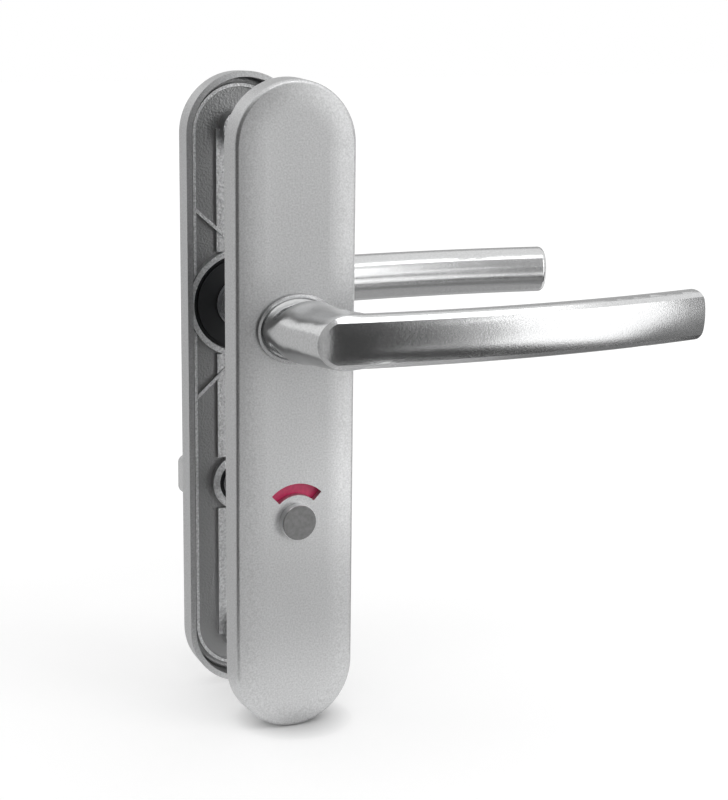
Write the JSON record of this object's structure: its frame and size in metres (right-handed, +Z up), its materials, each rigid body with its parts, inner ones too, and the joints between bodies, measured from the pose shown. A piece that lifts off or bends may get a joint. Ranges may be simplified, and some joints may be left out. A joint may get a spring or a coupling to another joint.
{
  "type": "door handle pair",
  "caption": "Pair of sprung lever handles on long round-ended plates for a bathroom door, with thumb turn inside and release button with red indicator outside.",
  "frame": {"origin": "on the levers' turning axis, in the middle of the door's thickness", "axes": "+X along the levers from the axis to their tips, +Y from the outside of the door to the inside, +Z up"},
  "size_m": [0.1773, 0.1404, 0.2422],
  "materials": {
    "satin_plate": "fine bead-blasted satin silver",
    "satin_lever": "satin silver, brighter than the plate",
    "button_metal": "plain satin grey",
    "black_plastic": "moulded, matt black",
    "spring_steel": "bright drawn wire and stamped strip",
    "zinc_steel": "zinc-plated steel",
    "dark_steel": "blackened steel",
    "indicator_white": "matt white",
    "indicator_red": "smooth crimson"
  },
  "bodies": {
    "plates": {"outside_plate": "satin_plate", "inside_plate": "satin_plate", "outside_bearing": "black_plastic", "inside_bearing": "black_plastic", "outside_return_spring": "spring_steel", "inside_return_spring": "spring_steel", "thumb_turn_bush": "black_plastic", "fixing_screws": "zinc_steel"},
    "outside_lever_set": {"outside_lever": "satin_lever", "outside_washer": "zinc_steel", "outside_circlip": "spring_steel", "outside_grub_screw": "dark_steel", "lever_spindle": "zinc_steel"},
    "inside_lever_set": {"inside_lever": "satin_lever", "inside_washer": "zinc_steel", "inside_circlip": "spring_steel", "inside_grub_screw": "dark_steel"},
    "release_set": {"release_button": "button_metal", "indicator_disc": "indicator_white", "indicator_red_label": "indicator_red", "release_clip": "spring_steel"},
    "thumb_turn_set": {"thumb_turn": "satin_lever", "thumb_turn_clip": "spring_steel", "thumb_turn_grub": "dark_steel", "lock_spindle": "zinc_steel"}
  },
  "joints": [
    {"name": "outside_lever_turn", "type": "hinge", "parent": "plates", "child": "outside_lever_set", "pos_m": [0, -0.02, 0], "axis": [0, 1, 0], "range_deg": [0, 40], "stiffness_Nm_per_rad": 0.6, "springref_deg": -29.79, "deforming": ["outside_return_spring"]},
    {"name": "inside_lever_turn", "type": "hinge", "parent": "plates", "child": "inside_lever_set", "pos_m": [0, 0.02, 0], "axis": [0, 1, 0], "range_deg": [0, 40], "stiffness_Nm_per_rad": 0.6, "springref_deg": -29.79, "deforming": ["inside_return_spring"]},
    {"name": "thumb_turn_turn", "type": "hinge", "parent": "plates", "child": "thumb_turn_set", "pos_m": [0, 0.02, -0.072], "axis": [0, 1, 0], "range_deg": [0, 90]},
    {"name": "release_turn", "type": "hinge", "parent": "plates", "child": "release_set", "pos_m": [0, -0.02, -0.072], "axis": [0, 1, 0], "range_deg": [0, 90]}
  ],
  "couplings": [
    {"joint": "inside_lever_turn", "follows": "outside_lever_turn", "ratio": 1},
    {"joint": "release_turn", "follows": "thumb_turn_turn", "ratio": 1}
  ]
}
